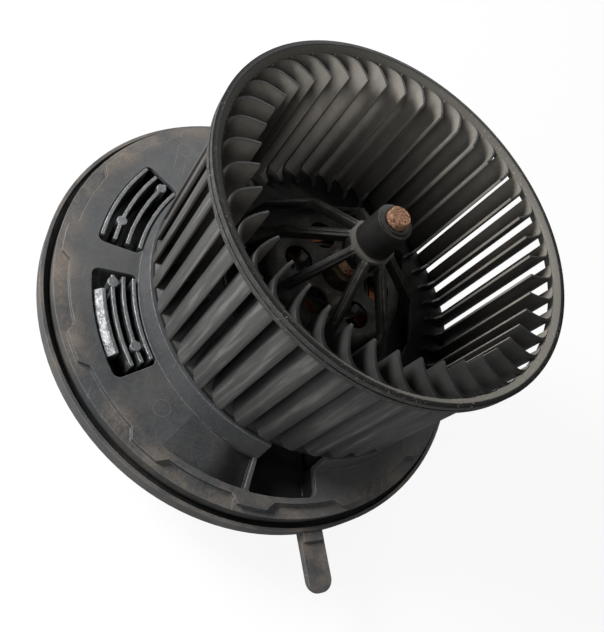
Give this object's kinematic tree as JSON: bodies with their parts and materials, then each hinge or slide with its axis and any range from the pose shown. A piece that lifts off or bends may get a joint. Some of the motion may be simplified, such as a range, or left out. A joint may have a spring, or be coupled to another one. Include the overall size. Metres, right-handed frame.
{
  "type": "blower motor",
  "caption": "Open drum impeller with forward-curved blades on an outer-rotor motor, on an eccentric round flange with a finned heat sink behind it.",
  "frame": {"origin": "centre of the flange's locating ring, in the plane of the rim's top face", "axes": "+Z parallel to the fan's axis and out of the inlet; the fan's axis stands 11.07 mm off the origin along +X, and the heat sink windows lie towards -X"},
  "size_m": [0.1986, 0.2165, 0.1268],
  "materials": {
    "fan_plastic": "black moulded plastic, worn satin outside and dusty inside",
    "shaft_steel": "turned steel with a rusty end",
    "spring_steel": "dark spring steel",
    "hub_brass": "turned brass",
    "can_steel": "zinc-plated pressed steel, dusty",
    "ferrite": "matt grey ceramic",
    "washer_steel": "plain steel",
    "bearing_steel": "ground steel",
    "turned_aluminium": "turned aluminium",
    "core_steel": "stacked steel laminations",
    "insulator_plastic": "cream moulded plastic",
    "copper_wire": "enamelled copper wire",
    "flange_plastic": "dark charcoal moulded plastic, dusty",
    "cast_aluminium": "as-cast aluminium",
    "bush_rubber": "soft black rubber",
    "screw_steel": "zinc-plated steel",
    "board_laminate": "green board lacquer",
    "package_plastic": "black moulding compound",
    "pad_rubber": "grey silicone sheet",
    "capacitor_can": "sleeved aluminium can",
    "cover_plastic": "black moulded plastic",
    "socket_plastic": "black moulded plastic",
    "pin_brass": "tin-plated brass"
  },
  "bodies": {
    "root": {"upper_bearing": "bearing_steel", "lower_bearing": "bearing_steel", "wave_washer": "spring_steel", "bearing_tube": "turned_aluminium", "stator_core": "core_steel", "stator_insulators": "insulator_plastic", "stator_windings": "copper_wire", "flange_plate": "flange_plastic", "heat_sink": "cast_aluminium", "damper_bushes": "bush_rubber", "flange_screws": "screw_steel", "circuit_board": "board_laminate", "board_screws": "screw_steel", "power_transistors": "package_plastic", "thermal_pads": "pad_rubber", "capacitors": "capacitor_can", "choke_core": "ferrite", "choke_winding": "copper_wire", "rear_cover": "cover_plastic", "cover_screws": "screw_steel", "connector_socket": "socket_plastic", "connector_pins": "pin_brass"},
    "rotor": {"impeller": "fan_plastic", "motor_shaft": "shaft_steel", "rotor_hub": "hub_brass", "rotor_can": "can_steel", "rotor_magnets": "ferrite", "spacer_washer": "washer_steel", "retaining_ring": "spring_steel"}
  },
  "joints": [
    {"name": "fan_spin", "type": "hinge", "parent": "root", "child": "rotor", "pos_m": [0.01107, 0, 0.05], "axis": [0, 0, 1], "continuous": true}
  ]
}
